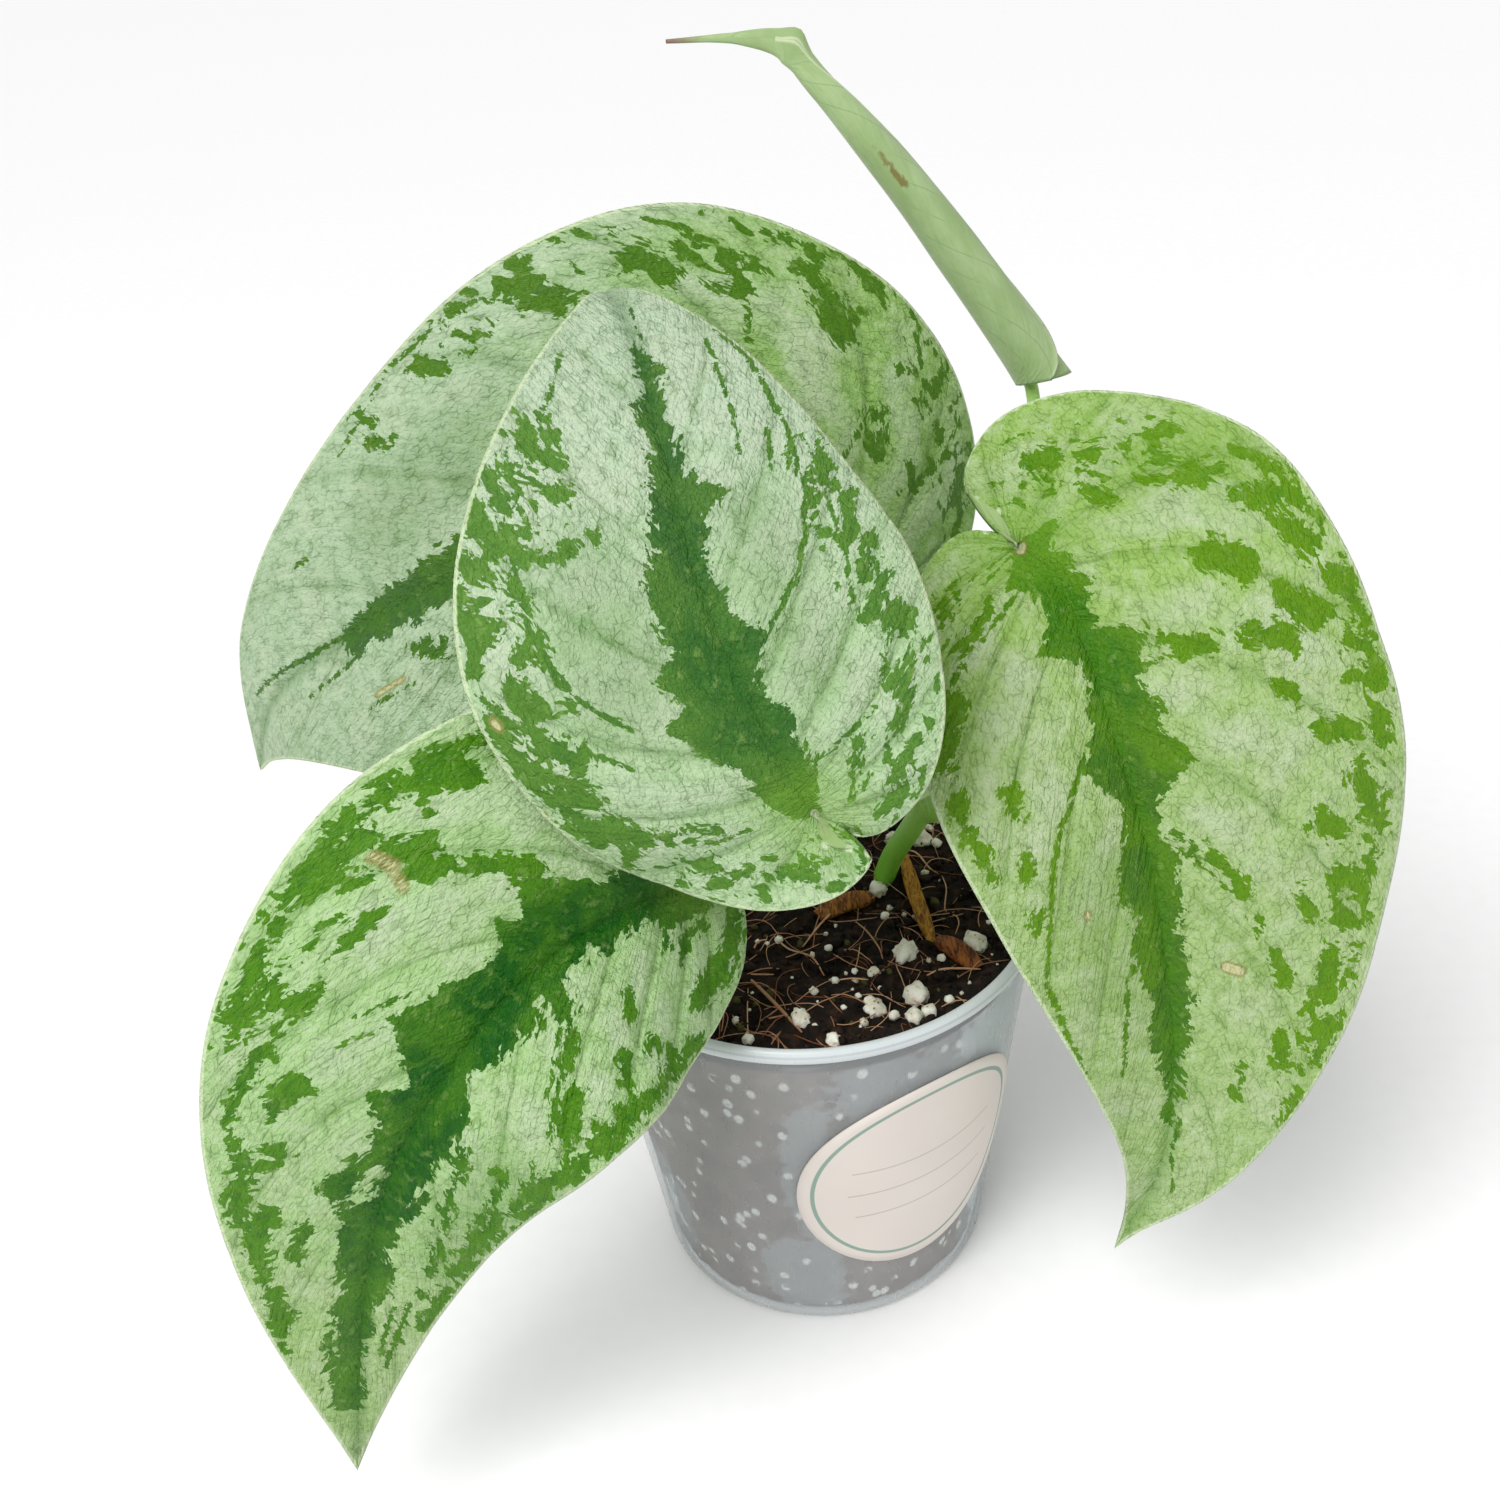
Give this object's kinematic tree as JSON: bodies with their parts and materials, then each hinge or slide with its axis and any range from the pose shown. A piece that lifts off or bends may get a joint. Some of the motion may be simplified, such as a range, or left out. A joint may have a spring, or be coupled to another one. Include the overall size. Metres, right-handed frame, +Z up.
{
  "type": "satin pothos in a nursery pot",
  "caption": "Young trailing aroid with broad heart-shaped silver-green leaves and a rolled new leaf, in a small translucent plastic nursery cup of potting mix.",
  "frame": {"origin": "centre of the pot's flat bottom", "axes": "+Z up out of the pot, -Y towards the side that the front leaf and the label face, +X to the right as seen from there"},
  "size_m": [0.1832, 0.1132, 0.205],
  "materials": {
    "pot": "thin milky translucent plastic, slightly glossy, with a whiter rolled rim",
    "label": "matt paper sticker, off-white",
    "soil": "damp dark peat and bark mix with white perlite",
    "stem": "smooth living stem, olive green",
    "leaf": "satin living leaf, silver green with deep green feathering along the midrib and blotches to the margin",
    "new_leaf": "smooth pale green rolled leaf"
  },
  "bodies": {
    "root": {"pot": "pot", "label": "label", "soil": "soil", "stem_and_stalks": "stem", "leaf_front": "leaf", "leaf_left": "leaf", "leaf_right": "leaf", "leaf_back": "leaf", "leaf_rolled": "new_leaf"}
  },
  "joints": []
}
